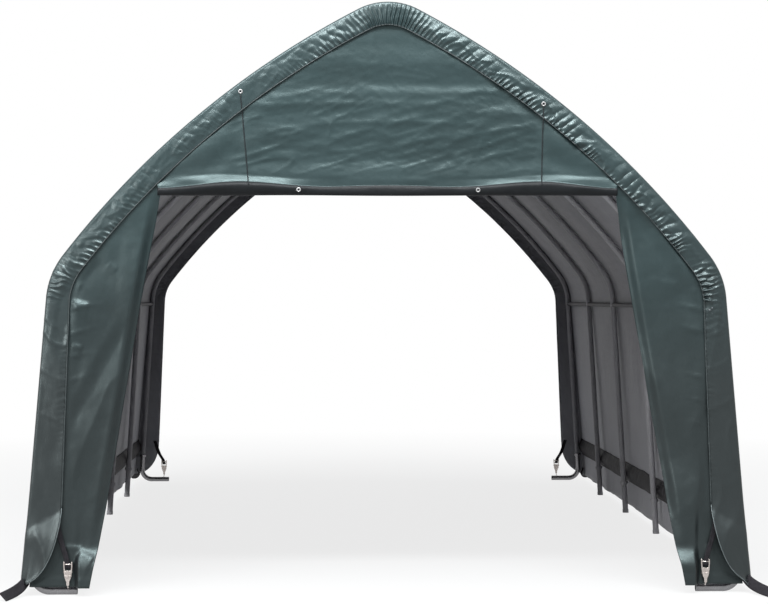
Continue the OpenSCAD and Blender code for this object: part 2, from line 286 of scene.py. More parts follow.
def ring_faces(rings, count):
    """Faces of a closed body from rings of points, one after the other."""
    last = (rings - 1) * count
    faces = [tuple(range(count)), tuple(range(last, last + count))[::-1]]
    for i in range(0, last, count):
        for k in range(count):
            m = (k + 1) % count
            faces.append((i + k, i + count + k, i + count + m, i + m))
    return faces


def tube_mesh(name, path, radius, finish, sides=10):
    path = np.asarray(path, float)
    tangent = unit(np.gradient(path, axis=0))
    # a direction that no tube here follows
    aside = (0.13, 0.31, 0.94)
    side = unit(np.cross(tangent, aside))
    up = np.cross(side, tangent)
    angle = np.arange(sides) * 2 * math.pi / sides
    ring = np.cos(angle)[None, :, None] * side[:, None, :]
    ring += np.sin(angle)[None, :, None] * up[:, None, :]
    verts = (path[:, None, :] + ring * radius).reshape(-1, 3)
    uvs = stacked(np.repeat(lengths(path), sides), np.tile(angle * 0.01, len(path)))
    return new_object(name, verts, ring_faces(len(path), sides), [finish], None, uvs)


# Materials
def material(name):
    m = bpy.data.materials.new(name)
    m.use_nodes = True
    return m, m.node_tree, m.node_tree.nodes["Principled BSDF"]


def add(tree, kind, **values):
    node = tree.nodes.new(kind)
    for key, value in values.items():
        if key in node.inputs:
            node.inputs[key].default_value = value
        else:
            setattr(node, key, value)
    return node


def link(source, target):
    source.id_data.links.new(source, target)


def set_inputs(node, values):
    for key, value in values.items():
        node.inputs[key].default_value = value


def maths(operation, a, b=None):
    node = add(a.id_data, "ShaderNodeMath", operation=operation)
    link(a, node.inputs[0])
    if isinstance(b, (int, float)):
        node.inputs[1].default_value = b
    elif b is not None:
        link(b, node.inputs[1])
    return node.outputs[0]


def weighted(*terms):
    """Sum of sockets, each times its own factor."""
    total = None
    for socket, factor in terms:
        part = maths("MULTIPLY", socket, factor)
        total = part if total is None else maths("ADD", total, part)
    return total


def noise_map(place, scale, detail, rough=0.5):
    node = add(place.id_data, "ShaderNodeTexNoise", Scale=scale, Detail=detail, Roughness=rough)
    link(place, node.inputs["Vector"])
    return node.outputs["Fac"]


def weave_map(coords, pitch_u, pitch_v):
    """Threads over and under each other, from the cut's own measures."""
    split = add(coords.id_data, "ShaderNodeSeparateXYZ")
    link(coords.outputs["UV"], split.inputs[0])
    waves = []
    for axis, pitch in enumerate((pitch_u, pitch_v)):
        turn = maths("MULTIPLY", split.outputs[axis], 2 * math.pi / pitch)
        waves.append(maths("SINE", turn))
    return maths("MULTIPLY", *waves)


def ramp(value, stops):
    node = add(value.id_data, "ShaderNodeValToRGB")
    for i, (at, colour) in enumerate(stops):
        if i < 2:
            e = node.color_ramp.elements[i]
            e.position = at
        else:
            e = node.color_ramp.elements.new(at)
        e.color = (*colour, 1)
    link(value, node.inputs["Fac"])
    return node.outputs["Color"]


def raise_surface(shader, height, strength):
    bump = add(height.id_data, "ShaderNodeBump", Strength=strength, Distance=1.0)
    link(height, bump.inputs["Height"])
    link(bump.outputs[0], shader.inputs["Normal"])


TAPE_PITCH = 0.0035
TAPE_HEIGHT = 0.00004


def woven(name, dark, mid, light, rough, crumple=0.25, specular=0.5, gloss_tint=(1, 1, 1),
          low_painted_shading=None, low_painted_span=None):
    """Coated woven sheet: flat tapes over and under each other, fine crumples and worn streaks."""
    m, tree, shader = material(name)
    coords = add(tree, "ShaderNodeTexCoord")
    place = coords.outputs["Object"]
    tapes = weave_map(coords, TAPE_PITCH, TAPE_PITCH)
    large = noise_map(place, 2.2, 5.0, 0.6)
    soft = noise_map(place, 13.0, 3.0)
    fine = noise_map(place, 38.0, 6.0, 0.65)
    stretch = add(tree, "ShaderNodeMapping", Scale=(3.0, 3.0, 26.0))
    link(place, stretch.inputs["Vector"])
    streak = noise_map(stretch.outputs[0], 1.0, 4.0, 0.55)
    blend = weighted((large, 0.55), (streak, 0.3), (fine, 0.15), (tapes, 0.025))
    colour = ramp(blend, [(0.34, dark), (0.52, mid), (0.7, light)])
    if low_painted_shading:
        # painted light and shade: the colour turns to another towards the ground, darker on the green cloth,
        # lighter on the lining
        height_of = add(tree, "ShaderNodeSeparateXYZ")
        link(place, height_of.inputs[0])
        level = maths("ADD", height_of.outputs[2], maths("MULTIPLY", large, 0.35))
        up = add(tree, "ShaderNodeMapRange", interpolation_type="SMOOTHSTEP")
        set_inputs(up, {"From Min": low_painted_span[0] + 0.17, "From Max": low_painted_span[1] + 0.17})
        link(level, up.inputs["Value"])
        painted_shading_mix = add(tree, "ShaderNodeMix", data_type="RGBA")
        painted_shading_mix.inputs[6].default_value = (*low_painted_shading, 1)
        link(up.outputs["Result"], painted_shading_mix.inputs[0])
        link(colour, painted_shading_mix.inputs[7])
        colour = painted_shading_mix.outputs[2]
    link(colour, shader.inputs["Base Color"])
    set_inputs(shader, {"Specular Tint": (*gloss_tint, 1), "Specular IOR Level": specular})
    gloss = maths("ADD", maths("MULTIPLY", fine, 0.2), rough - 0.1)
    link(gloss, shader.inputs["Roughness"])
    height = weighted((tapes, TAPE_HEIGHT), (fine, crumple * 0.006), (soft, crumple * 0.05))
    raise_surface(shader, height, 1.0)
    return m


def webbing(name, dark, light):
    m, tree, shader = material(name)
    coords = add(tree, "ShaderNodeTexCoord")
    rib = weave_map(coords, 0.004, 0.007)
    grain = noise_map(coords.outputs["Object"], 60.0, 4.0)
    mix = maths("ADD", maths("MULTIPLY", rib, 0.2), grain)
    link(ramp(mix, [(0.25, dark), (0.85, light)]), shader.inputs["Base Color"])
    set_inputs(shader, {"Roughness": 0.8, "Specular IOR Level": 0.2})
    raise_surface(shader, maths("MULTIPLY", rib, 0.0005), 0.8)
    return m


def metal(name, dark, light, rough, metallic, scratch=0.0004, scale=9.0, specular=0.5):
    """Tube or fitting with clouded zinc, fine spangle and a little unevenness."""
    m, tree, shader = material(name)
    place = add(tree, "ShaderNodeTexCoord").outputs["Object"]
    cloud = noise_map(place, scale, 6.0, 0.62)
    spangle = add(tree, "ShaderNodeTexVoronoi", Scale=scale * 14)
    link(place, spangle.inputs["Vector"])
    mix = weighted((cloud, 0.75), (spangle.outputs["Distance"], 0.3))
    link(ramp(mix, [(0.3, dark), (0.72, light)]), shader.inputs["Base Color"])
    gloss = maths("ADD", maths("MULTIPLY", mix, 0.24), rough - 0.12)
    link(gloss, shader.inputs["Roughness"])
    set_inputs(shader, {"Metallic": metallic, "Specular IOR Level": specular})
    raise_surface(shader, maths("MULTIPLY", mix, scratch), 0.6)
    return m


GREENS = {"dark": (0.0062, 0.0134, 0.0147), "mid": (0.0088, 0.0184, 0.020), "light": (0.0134, 0.0248, 0.0268)}
# the green turns darker and greyer near the ground: painted shade, for the dark ground its gloss reflects
GREEN_PAINTED_GROUND_SHADE = {"low_painted_shading": (0.0066, 0.0076, 0.0083), "low_painted_span": (0.75, 2.45)}
green = woven("cover_green", **GREENS, **GREEN_PAINTED_GROUND_SHADE, rough=0.43, crumple=0.04, gloss_tint=(0.8, 1.0, 1.0))
band_green = woven("band_green", **GREENS, **GREEN_PAINTED_GROUND_SHADE, rough=0.37, crumple=0.02, specular=0.55,
                   gloss_tint=(0.85, 1.0, 1.0))
# near-black for the hem roll where it turns under, and for the grommet holes: painted shade
painted_shade_dark = woven("painted_shade_dark", (0.004, 0.005, 0.006), (0.006, 0.007, 0.008), (0.009, 0.010, 0.011), rough=0.5,
                  crumple=0.1, specular=0.15)
# the lining turns lighter towards the ground: painted light, from the floor and the openings
lining = woven("cover_lining", (0.165, 0.163, 0.178), (0.205, 0.203, 0.22), (0.245, 0.243, 0.26), rough=0.62,
               crumple=0.1, specular=0.2, low_painted_shading=(0.41, 0.41, 0.435), low_painted_span=(0.1, 1.75))
pocket_cloth = woven("pocket_cloth", (0.009, 0.008, 0.010), (0.012, 0.011, 0.013), (0.016, 0.015, 0.017),
                     rough=0.7, specular=0.08)
edging = woven("band_edging", (0.010, 0.016, 0.017), (0.014, 0.021, 0.022), (0.02, 0.028, 0.029), rough=0.6)
piping = woven("light_edging", (0.05, 0.065, 0.066), (0.07, 0.085, 0.087), (0.09, 0.105, 0.108), rough=0.5)
strap_black = webbing("strap_black", (0.005, 0.0045, 0.006), (0.017, 0.015, 0.018))
cord_black = webbing("cord_black", (0.008, 0.010, 0.011), (0.02, 0.022, 0.024))
tube_grey = metal("tube_grey", (0.3, 0.296, 0.311), (0.41, 0.402, 0.423), rough=0.6, metallic=0.05)
# a darker copy of the tube finish for the purlins: painted shade
tube_painted_shade = metal("tube_painted_shade", (0.05, 0.049, 0.053), (0.08, 0.078, 0.084), rough=0.65, metallic=0.05,
                  specular=0.1)
tube_bright = metal("tube_bright", (0.19, 0.188, 0.194), (0.225, 0.222, 0.23), rough=0.24, metallic=0.8,
                    scratch=0.00004, scale=3.0)
plated = metal("plated_metal", (0.34, 0.30, 0.28), (0.62, 0.57, 0.54), rough=0.25, metallic=0.95, scale=30.0)
ring_metal = metal("ring_metal", (0.25, 0.25, 0.25), (0.4, 0.4, 0.4), rough=0.35, metallic=0.7, scale=30.0)


# The solids that a piece stands for
STANDS_FOR = {
    "cover": ["left_wall_cover", "right_wall_cover", "left_shoulder_cover", "right_shoulder_cover",
              "left_slope_cover", "right_slope_cover", "ridge_cover"],
    "front_band": ["front_leg_bands", "front_shoulder_bands", "front_slope_bands", "front_peak_band"],
    "back_band": ["back_leg_bands", "back_shoulder_bands", "back_slope_bands", "back_peak_band"],
    "gable_panel": ["front_gable_panel"],
    "front_left_strip": ["front_left_side_panel"],
    "front_right_strip": ["front_right_side_panel"],
    "front_left_strap": ["edge_straps"],
    "front_left_tail": ["corner_tails"],
    "front_left_buckle": ["edge_buckles"],
    "left_lift_cord": ["lift_cords"],
    "band_left_grommet": ["grommets"],
}


def keep(obj):
    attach(obj, "root")
    if obj.name in STANDS_FOR:
        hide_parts(*STANDS_FOR[obj.name])


rib_y = np.arange(BAYS + 1) * BAY - LENGTH / 2


# Cover: one sheet over all ribs, from hem to hem
ROOF_SAG = 0.012
WALL_SAG = 0.007


def make_cover():
    p, n, s = full_profile(dict(wall=46, shoulder=16, rafter=60, peak=10))
    end = BAND_Y - 0.012
    y = np.linspace(-end, end, 132)
    # finer rows beside the ribs, where the cloth bends over the tube
    bay = (y + LENGTH / 2) / BAY
    y = y - 0.028 * np.sin(2 * math.pi * bay) * ease(0, 0.3, end - np.abs(y))
    yy, ss = np.meshgrid(y, s, indexing="ij")
    half = s[-1] / 2
    rise = half - np.abs(ss - half)
    on_wall = 1 - ease(WALL_LENGTH - 0.12, WALL_LENGTH + 0.1, rise)
    on_roof = 1 - on_wall
    to_ridge = ease(half - 0.5, half, rise)
    eave = bump_at(rise, WALL_LENGTH - 0.03, 0.12)
    # sag between the ribs, and a slight swelling over each rib
    inside = np.clip((yy + LENGTH / 2) / BAY, 0, BAYS)
    part = inside - np.floor(inside)
    span = np.sin(math.pi * part) ** 2 * (np.abs(yy) < LENGTH / 2)
    sag = ROOF_SAG * (1 - 0.55 * to_ridge) * on_roof + WALL_SAG * on_wall * ease(0.3, 0.7, rise)
    d = -span * sag * (1 - 0.75 * eave)
    near_rib = np.min(np.abs(yy[..., None] - rib_y), axis=-1)
    d += 0.0012 * bump_at(near_rib, 0, 0.03)
    # long soft folds down the walls and along the slopes, with short creases
    free = ease(0.02, 0.16, near_rib)
    folds = layered(yy * 3.1, rise * 0.55, 1) * 0.0045 * on_wall
    folds += layered(yy * 0.9, rise * 2.3, 4) * 0.004 * on_roof
    folds += (crease(yy * 2.3 + rise * 1.1, rise * 1.3, 8) - 0.35) * 0.0035
    d += folds * free * (1 - 0.8 * eave)
    # the hems wave a little
    hem = 1 - ease(0.0, 0.2, rise)
    d += hem * (noise(yy * 3.2, ss * 0.01, 11) * 0.005 + np.sin(yy * 9.0 + ss) * 0.001)
    # the wall lies flat over the base rail, and the roof over the ridge and eave purlins
    rail = ease(0.0, 0.06, 0.16 - np.abs(p[None, :, 1] - RAIL_Z)) * on_wall
    d = d * (1 - rail) + np.maximum(d, 0.0004) * rail
    held = np.maximum(1 - ease(0.02, 0.1, half - rise), ease(0.45, 0.85, eave))
    d = d * (1 - held) + np.maximum(d, -0.0006) * held
    uneven = hem ** 2 * noise(yy * 2.6, ss * 0.01, 13) * 0.003
    pos = stacked(p[:, 0] + n[:, 0] * d, yy, p[:, 1] + n[:, 1] * d + uneven)
    sheet = cloth_grid("cover", pos, stacked(ss, yy), [green, lining])
    keep(sheet)


# End bands: the cover's edge turned in over an end rib and gathered
def band_width(z, cut):
    t = (LEG_HEIGHT - z) / (LEG_HEIGHT - cut)
    straight = BAND_W + (BAND_FOOT_W - BAND_W) * np.clip(t, 0, 1)
    lift = np.clip((cut - z) / (cut - CUT_FOOT), 0, 1)
    return np.where(z > cut, straight, BAND_FOOT_W * np.sqrt(np.maximum(1 - lift ** 2, 0)))


FOLD_R = 0.016
BAND_LAP = 0.045
BAND_LIFT = 0.0012
# Heights of the bands' folds
PLEAT = 0.0088
PEAK_PLEAT = 0.0035
PUCKER = 0.0045
PUFF = 0.0065
CRUMPLE = 0.0075
SMALL_CRUMPLE = 0.0032
CRESCENT = 0.0075
LEG_SWELL = 0.007
LEG_CREASE = 0.011
CORNER_FOLD = 0.042


def band_base(p, n, t, width, side):
    """The band without folds: points and outward directions at the stations t across it."""
    base = []
    out = []
    for tk in t:
        # on the roof edge, round the fold, or inward on the end
        turn = min(max(tk + 1, 0), 1) * math.pi / 2
        depth = BAND_LIFT - FOLD_R * (1 - math.cos(turn)) - max(tk, 0) * np.maximum(width - FOLD_R, 0.002)
        y = BAND_Y - FOLD_R + FOLD_R * math.sin(turn) - BAND_LAP * max(-1 - tk, 0)
        base.append(stacked(p[:, 0] + n[:, 0] * depth, side * y, p[:, 1] + n[:, 1] * depth))
        out.append(stacked(n[:, 0] * math.cos(turn), side * math.sin(turn), n[:, 1] * math.cos(turn)))
    return np.array(base), np.array(out)


def make_band(name, front, counts, rows):
    cut = FRONT_CUT if front else BACK_CUT
    seed = 0 if front else 5
    p, n, s = full_profile(counts)
    half = s[-1] / 2
    ss = s[None, :]
    zz = p[None, :, 1]
    left = ss < half
    right = np.where(left, -1.0, 1.0)
    rise = half - np.abs(ss - half)
    width = np.where(rise < WALL_LENGTH, band_width(zz, cut), BAND_W)[0]
    width = np.maximum(width, 0.004)
    t = np.concatenate([np.linspace(-2, -1, 3)[:-1], np.linspace(-1, 0, 6)[:-1], np.linspace(0, 1, rows)])
    base, out = band_base(p, n, t, width, -1.0 if front else 1.0)
    tt = np.clip(t, 0, 1)[:, None]
    turned = np.clip(t + 1, 0, 1)[:, None]
    # where along the arch: legs, shoulder bends, peak, and how strong the folds are
    leg = 1 - ease(WALL_LENGTH - 0.06, WALL_LENGTH + 0.08, rise)
    arch = 1 - leg
    peak = ease(half - 0.34, half - 0.1, rise)
    away = 1 - peak
    bend = bump_at(rise, WALL_LENGTH + np.where(left, 0.06, -0.02), np.where(left, 0.16, 0.24))
    full = np.clip(peak + bend, 0, 1)
    loud = np.where(left, 0.6, 1.0)
    loud += (1 - loud) * full
    curved = np.maximum(arch, bend)
    # gathers: slanted puffs over the whole width, with finer pleats that grow to the drawn edge
    slant = right * away * tt * (1 - 0.8 * bend)
    step = np.gradient(s)
    puff_at = np.cumsum(step / 0.055)[None, :] + 0.8 * slant
    puff_at += 0.7 * noise(ss * 6.0, tt * 0.8, 3 + seed)
    puff = np.abs(np.sin(math.pi * puff_at)) ** 0.8
    pitch = 0.027 - 0.001 * peak + 0.008 * bend
    fine_at = np.cumsum(step / pitch[0])[None, :] + 1.3 * slant
    fine_at += 0.75 * noise(ss * 11.0, tt * 1.2, 2 + seed) * (1 - 0.6 * peak)
    fine_at += 0.55 * bend * noise(ss * 19.0, tt * 2.2, 10 + seed)
    fine = (0.5 + 0.5 * np.cos(2 * math.pi * fine_at)) ** 1.8
    reach = np.clip(0.42 + 0.5 * noise(ss * 13.0, 0 * tt + 0.5, 6 + seed), 0.0, 0.85) * (1 - full)
    grow = ease(0, 1, (tt - reach) / np.maximum(1 - reach, 0.05))
    grow = grow * (1 - full) + full * (0.4 + 0.6 * tt)
    uneven = np.clip(0.7 + 0.95 * noise(ss * 7.5, tt * 0.9, 7 + seed), 0.08, 1.4)
    at_peak = np.clip(0.95 + 0.3 * noise(ss * 20.0, 0 * tt, 7 + seed), 0.5, 1.3)
    uneven = uneven * away + peak * at_peak
    pleat = PLEAT + PEAK_PLEAT * np.clip(peak + 0.6 * bend, 0, 1)
    pucker = PUCKER * ease(0.55, 1.0, tt) * leg * ease(0.35, 0.8, rise)
    d = fine * uneven * turned * (pleat * loud * curved * grow + pucker)
    belly = 0.2 + 0.8 * np.sin(math.pi * tt ** 1.1)
    d += PUFF * puff * uneven * turned * arch * away * loud * belly
    # sharp slanted crumples, most of them on the right
    cross = ss * right
    sharp = crease(cross * 7.5 + tt * 1.5, tt * 1.6 - cross * 4.0, 16 + seed, 7) * ease(0.05, 0.5, tt)
    d += CRUMPLE * sharp * turned * away * loud ** 2 * curved
    # slack swell between the fold and the drawn edge, and small crumples
    swell = np.sin(math.pi * tt ** 0.8) * (0.006 + 0.004 * noise(ss * 1.7, 0 * tt, 9 + seed))
    d += swell * (0.4 + 0.6 * arch)
    small = layered(ss * 9.0 + tt * 0.8, tt * 2.4, 12 + seed)
    d += SMALL_CRUMPLE * small * turned * (0.5 + 0.5 * arch)
    # crescent folds across the legs, fewer towards the foot
    slack = leg * turned * (0.35 + 0.65 * ease(0.5, 1.3, rise))
    hand = np.where(left, 0, 1)
    for k in range(9):
        at = 0.5 + 0.1 * k + 0.05 * LATTICE[3 + seed, k, hand]
        bow = at - 0.05 * tt + 0.11 * (tt - 0.45) ** 2 * (1 + LATTICE[4 + seed, k, hand])
        strength = 0.5 + 0.5 * LATTICE[5 + seed, k, hand]
        d += CRESCENT * slack * strength * np.exp(-np.abs(rise - bow) / 0.014)
    d += LEG_SWELL * slack * noise(ss * 2.4 + tt * 1.1, tt * 1.6, 15 + seed)
    # slanted creases on the lower legs
    bent = noise(ss * 4.5 - right * tt * 1.1, tt * 1.3 + right * ss * 2.2, 18 + seed)
    bent = np.maximum(1 - np.sqrt(bent ** 2 + 0.02), 0) ** 3
    low = ease(0.0, 0.25, tt) * (1 - 0.6 * ease(0.7, 1.1, rise))
    d += LEG_CREASE * bent * leg * turned * low
    # the cut corner folds forward along a slanted crease and stands off the panel below it
    corner = (1 - ease(CUT_FOOT, cut + 0.12, zz)) * leg
    d += corner * (0.006 + 0.014 * tt) * (1.0 if front else 0.5)
    below = 0.004 * np.logaddexp(0, (cut - 0.09 + 0.1 * tt - zz) / 0.004)
    u = below / (0.035 + 0.085 * tt)
    kick = u / (1 + u ** 4) ** 0.25 * (1 - 0.7 * ease(1.0, 3.5, u))
    d += CORNER_FOLD * leg * turned * (0.15 + 0.85 * tt) * kick * (1.0 if front else 0.4)
    d = np.maximum(d, 0.0005) + 0.003 * tt
    pos = base + out * d[..., None]
    uv = stacked(ss, t[:, None] * BAND_W)
    sheet = cloth_grid(name, pos, uv, [band_green, lining], outward=-1 if front else 1)
    keep(sheet)
    return pos


# Rope casing along the drawn edge of a band, and the light bound edge of its cut corners
CASING_R = 0.0034
PIPING_R = 0.0022


def make_edging(name, band, side, cut):
    edge = band[-1] + np.array([0, side * 0.001, 0])
    picked = np.linspace(0, len(edge) - 1, min(len(edge), 1000)).astype(int)
    path = smoothed(edge[picked], 2)
    above = np.where(path[:, 2] > cut + 0.01)[0]
    first, last = above[[0, -1]]
    pieces = (
        (name, path[first:last + 1], CASING_R, edging),
        (name + "_left_cut", path[:first + 1], PIPING_R, piping),
        (name + "_right_cut", path[last:], PIPING_R, piping),
    )
    for piece, line, radius, finish in pieces:
        keep(tube_mesh(piece, line, radius, finish, sides=8))


# Gable panel with its rolled hem
HEM_LOW = HEADER_Z - 0.0285
HEM_END = SLEEVE_END + 0.014
HEM_AXIS_Y = -(PANEL_Y + PANEL_T / 2)
HEM_R = POLE_R + 0.0045
HEM_SLACK = 0.031
ROLL = np.radians(np.linspace(-100, 75, 16))
GABLE_TOP = PEAK_C[1] + PEAK_R + TUBE_R - 0.004


def gable_edge(z):
    on_arc = arch_x(RAFTER_R + TUBE_R - 0.002, z)
    tangent_z = PEAK_C[1] + (PEAK_R + TUBE_R) * math.sin(HEAD_ANGLE)
    on_peak = np.sqrt(np.maximum((PEAK_R + TUBE_R - 0.002) ** 2 - (z - PEAK_C[1]) ** 2, 0.0004))
    return np.where(z > tangent_z, on_peak, on_arc)


def hem_height(x):
    # held up by the lift cords, low at the ends, with a little slack in the middle
    far = np.abs(x) - CORD_X
    lifted = np.where(far < 0, ease(-0.5, 0.02, far), 1 - 0.92 * ease(0, HEM_END - CORD_X, far))
    middle = 1 - ease(0.0, 0.6, np.abs(x))
    return 0.036 + 0.036 * lifted + 0.018 * middle


def hem_front(x, turn):
    wide = np.abs(x)
    swelling = ease(0.26, 0.64, wide) * (1 - 0.85 * ease(CORD_X + 0.15, HEM_END, wide))
    swelling *= np.where(x > 0, 0.72, 1.0)
    lip = 0.35 + 0.65 * (0.5 + 0.5 * math.sin(turn))
    return HEM_AXIS_Y - (HEM_R + HEM_SLACK * swelling * lip) * math.cos(turn * 0.75)


def gable_base(a, level):
    """The gable without creases: the underside of the hem, round its front, then up to the peak."""
    pos = []
    uv = []
    x = a * HEM_END
    hem_top = HEM_LOW + hem_height(x)
    half_height = hem_height(x) / (1 + math.sin(ROLL[-1]))
    for turn in ROLL:
        pos.append(stacked(x, hem_front(x, turn), HEM_LOW + half_height * (1 + math.sin(turn))))
        uv.append(stacked(x, SLEEVE_R * turn))
    plane = -PANEL_FACE_Y
    rest = HEM_AXIS_Y - HEM_R * math.cos(ROLL[-1] * 0.75)
    for t in level:
        z = hem_top + (GABLE_TOP - hem_top) * t
        wide = gable_edge(z)
        join = ease(HEADER_Z + 0.02, HEADER_Z + 0.075, z)
        x = a * (HEM_END * (1 - join) + wide * join)
        # above the roll the cloth falls back to the panel's plane, and its slack in one short slope
        over = z - hem_top
        slack = (hem_front(x, ROLL[-1]) - rest) * np.clip(1 - over / 0.037, 0, 1)
        # beside the band it lies flat, so that the band stays in front
        tuck = 1 - (1 - ease(0.0, 0.16, wide - np.abs(x) - 0.15)) * ease(0.0, 0.05, over)
        fall = ((rest - plane) * (1 - ease(0.0, 0.85, over)) + slack) * tuck
        inside = 1 - ease(SLEEVE_END - 0.03, SLEEVE_END + 0.01, np.abs(x)) * join
        pos.append(stacked(x, plane + fall * inside, z))
        uv.append(stacked(x, z - HEADER_Z))
    return np.array(pos), np.array(uv)


def make_gable():
    level = np.concatenate([np.linspace(0, 1, 22)[1:] ** 1.3 * 0.14, np.linspace(0.14, 1, 84)[1:]])
    pos, uv = gable_base(np.linspace(-1, 1, 330), level)
    x = pos[..., 0]
    z = pos[..., 2]
    wide = np.abs(x)
    rise = z - HEADER_Z
    to_edge = np.minimum(gable_edge(z) - wide, np.maximum(GABLE_TOP - z, 0) * 0.8)
    free = ease(0.1, 0.26, to_edge) * ease(HEADER_Z + 0.05, HEADER_Z + 0.16, z)
    middle = 1 - 0.85 * ease(CORD_X - 0.1, CORD_X + 0.08, wide)
    # level ripples of slack cloth, long and soft in the upper half, crumpled and slanted below
    high = 0.25 + 0.75 * ease(0.2, 0.5, rise)
    low = 1 - ease(0.25, 0.62, rise)
    bow = rise + 0.05 * x * x
    tilt = rise - 0.28 * x
    d = (crease(x * 0.8 + 3.0, bow * 10.5, 5, 2.6) - 0.4) * 0.009 * high
    d += noise(x * 0.7, bow * 6.0, 2) * 0.008
    d += (crease(x * 3.4 + rise * 2.0, tilt * 17.0, 9, 3.0) - 0.35) * 0.0042 * (0.2 + 0.8 * low)
    wander = 1.3 * noise(x * 3, rise * 4, 3)
    d += (crease(x * 6.5 - rise * 2.0, tilt * 24.0 + wander, 12, 3.5) - 0.3) * 0.0028 * (0.25 + 0.75 * low)
    d += (crease(x * 9.0 + rise * 6.0, rise * 26.0 + x * 5.0, 16, 4) - 0.3) * 0.0018
    d += layered(x * 13.0, rise * 26.0, 14, 2) * 0.0005
    # one short fold under the peak
    short = ease(-0.32, -0.1, x) * (1 - ease(0.05, 0.14, x))
    d += 0.011 * bump_at(rise - 0.18 * x, 0.80, 0.03) * short
    pull = bump_at(wide, CORD_X, 0.04) * ease(0.08, 0.2, rise)
    d = d * free * middle - pull * 0.007 * free
    # long slanted folds outside the cords
    outer = ease(0.0, 0.1, wide - CORD_X) * ease(0.1, 0.2, to_edge) * ease(0.05, 0.14, rise)
    d += 0.007 * np.sin((wide - CORD_X) * 15 + rise * 24) * outer
    hem = 1 - ease(HEADER_Z + 0.05, HEADER_Z + 0.09, z)
    z = z + hem * 0.0025 * noise(x * 2.2, 0 * x, 3)
    pos = stacked(x, pos[..., 1] - d + hem * 0.0025 * noise(x * 7.0, z * 30, 6), z)
    # the roll's rows take the near-black finish: painted shade where the hem turns under
    sheet = cloth_grid("gable_panel", pos, uv, [green, lining, painted_shade_dark], hem_rows=len(ROLL) - 1)
    keep(sheet)
    return pos


# Side strips of the front panel, with the packing folds each one shows
def along_line(x, z, a, b):
    """Share of the way from a to b, and the distance above that line."""
    way = np.subtract(b, a)
    span = np.linalg.norm(way)
    way = way / span
    dx = x - a[0]
    dz = z - a[1]
    return (dx * way[0] + dz * way[1]) / span, dz * way[0] - dx * way[1]


def fold(x, z, a, b, wide, high):
    """A crease from a to b: the cloth above it leans out to it, and falls back more slowly below."""
    along, over = along_line(x, z, a, b)
    taper = ease(-0.12, 0.15, along) * (1 - ease(0.85, 1.12, along))
    above = np.clip(1 - over / wide, 0, 1)
    below = np.exp(np.minimum(over, 0) / (2.2 * wide))
    return high * taper * np.where(over > 0, above, below)


def hollow(x, z, a, b, wide, deep):
    """A dip along a line from a to b: sharp on its upper side, slowly filled below."""
    along, over = along_line(x, z, a, b)
    dip = ease(-0.5 * wide, wide, -over) * np.exp(-np.maximum(-over, 0) / (2.6 * wide))
    return -deep * dip * ease(-0.15, 0.2, along) * (1 - ease(0.8, 1.15, along))


# Ends of each fold and hollow: distance from the middle and height
LEFT_FOLDS = (
    dict(a=(1.515, 1.466), b=(1.605, 1.478), wide=0.020, high=0.012),
    dict(a=(1.55, 1.565), b=(1.60, 1.588), wide=0.018, high=0.011),
    dict(a=(1.55, 1.25), b=(1.60, 1.265), wide=0.016, high=0.010),
    dict(a=(1.375, 1.645), b=(1.41, 1.68), wide=0.012, high=0.004),
    dict(a=(1.55, 0.238), b=(1.65, 0.248), wide=0.015, high=0.010),
    dict(a=(1.49, 0.186), b=(1.56, 0.218), wide=0.024, high=0.015),
)
LEFT_HOLLOWS = (
    dict(a=(1.368, 1.376), b=(1.64, 0.878), wide=0.055, deep=0.026),
    dict(a=(1.48, 1.70), b=(1.63, 1.52), wide=0.035, deep=0.015),
)
RIGHT_FOLDS = (
    dict(a=(1.34, 1.60), b=(1.47, 1.575), wide=0.014, high=0.0026),
    dict(a=(1.55, 1.54), b=(1.62, 1.56), wide=0.014, high=0.006),
    dict(a=(1.62, 0.235), b=(1.67, 0.23), wide=0.012, high=0.006),
)
RIGHT_HOLLOWS = (
    dict(a=(1.30, 1.96), b=(1.60, 1.45), wide=0.06, deep=0.022),
    dict(a=(1.36, 1.10), b=(1.55, 0.62), wide=0.06, deep=0.020),
)
STRIP_TOP = HEADER_Z + 0.06


def strip_outer(z):
    leg = leg_x(z) + TUBE_R / math.cos(LEAN)
    shoulder = np.sqrt(np.maximum((SHOULDER_R + TUBE_R) ** 2 - (z - SHOULDER_C[1]) ** 2, 0))
    rafter = arch_x(RAFTER_R + TUBE_R, z)
    over = np.where(z < RAFTER_FOOT[1], SHOULDER_C[0] + shoulder, rafter)
    return np.where(z < LEG_HEIGHT, leg, over) - 0.003


